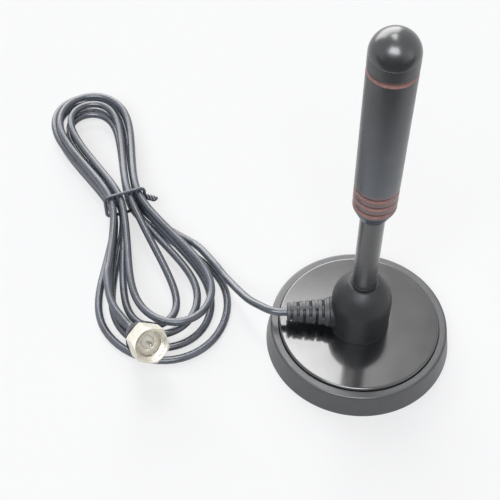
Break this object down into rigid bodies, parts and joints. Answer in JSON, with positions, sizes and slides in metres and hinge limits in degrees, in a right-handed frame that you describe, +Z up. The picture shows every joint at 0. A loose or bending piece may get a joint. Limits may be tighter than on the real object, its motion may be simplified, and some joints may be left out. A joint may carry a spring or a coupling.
{
  "type": "magnetic base television antenna",
  "caption": "Whip aerial on a round magnetic foot: moulded hub with ribbed cable outlet, slim stem, grooved rod with domed cap, and a thin coaxial lead tied in a hank with a screw-on plug.",
  "frame": {"origin": "on the floor under the middle of the round base", "axes": "+Z up along the mast; the cable leaves the hub towards -X; +Y away from the viewer of the picture"},
  "size_m": [0.1412, 0.1407, 0.1311],
  "materials": {
    "boot_rubber": "satin moulded rubber",
    "black_lacquer": "high gloss",
    "ferrite": "ground",
    "foam_pad": "matt",
    "zinc_screw": "zinc plated",
    "tinned_copper": "tinned",
    "hub_vinyl": "fine matt moulding",
    "brass": "turned",
    "copper": "drawn",
    "seal_rubber": "matt",
    "stem_black": "satin",
    "rod_black": "satin",
    "cap_black": "polished",
    "red_enamel": "semi gloss",
    "white_nylon": "moulded",
    "cable_vinyl": "satin extruded",
    "tie_vinyl": "satin",
    "sleeve_vinyl": "matt",
    "nickel": "nickel plated"
  },
  "bodies": {
    "base": {"rubber_boot": "boot_rubber", "base_cover": "black_lacquer", "ring_magnet": "ferrite", "floor_pad": "foam_pad", "base_screws": "zinc_screw", "screw_washers": "zinc_screw", "ground_ring": "tinned_copper", "hub_body": "hub_vinyl", "hub_bush": "brass", "strain_relief": "hub_vinyl", "cable_entry": "cable_vinyl", "feed_wire": "copper", "braid_pigtail": "tinned_copper", "cable_lead": "cable_vinyl", "cable_hank": "cable_vinyl", "cable_tail": "cable_vinyl", "wire_tie": "tie_vinyl", "plug_sleeve": "sleeve_vinyl", "plug_body": "nickel", "plug_gasket": "sleeve_vinyl", "plug_insulator": "white_nylon", "plug_pin": "copper"},
    "seal_ring": {"seal_ring": "seal_rubber"},
    "mast": {"stem": "stem_black", "stem_stud": "brass", "feed_rod": "brass", "rod_shell": "rod_black", "rod_cap": "cap_black", "low_groove_bands": "red_enamel", "top_groove_band": "red_enamel", "coil_former": "white_nylon", "loading_coil": "copper"},
    "plug_nut": {"plug_nut": "nickel"}
  },
  "joints": [
    {"name": "mast_lift", "type": "slide", "parent": "base", "child": "seal_ring", "axis": [0, 0, 1], "range_m": [0, 0.004]},
    {"name": "mast_turn", "type": "hinge", "parent": "seal_ring", "child": "mast", "pos_m": [0, 0, 0.0318], "axis": [0, 0, 1], "range_deg": [0, 1800]},
    {"name": "plug_nut_turn", "type": "hinge", "parent": "base", "child": "plug_nut", "pos_m": [-0.06855, -0.01168, 0.01627], "axis": [0.3922, -0.7076, 0.5878], "continuous": true}
  ],
  "couplings": [
    {"joint": "mast_turn", "follows": "mast_lift", "rad_per_m": 7853.9}
  ]
}
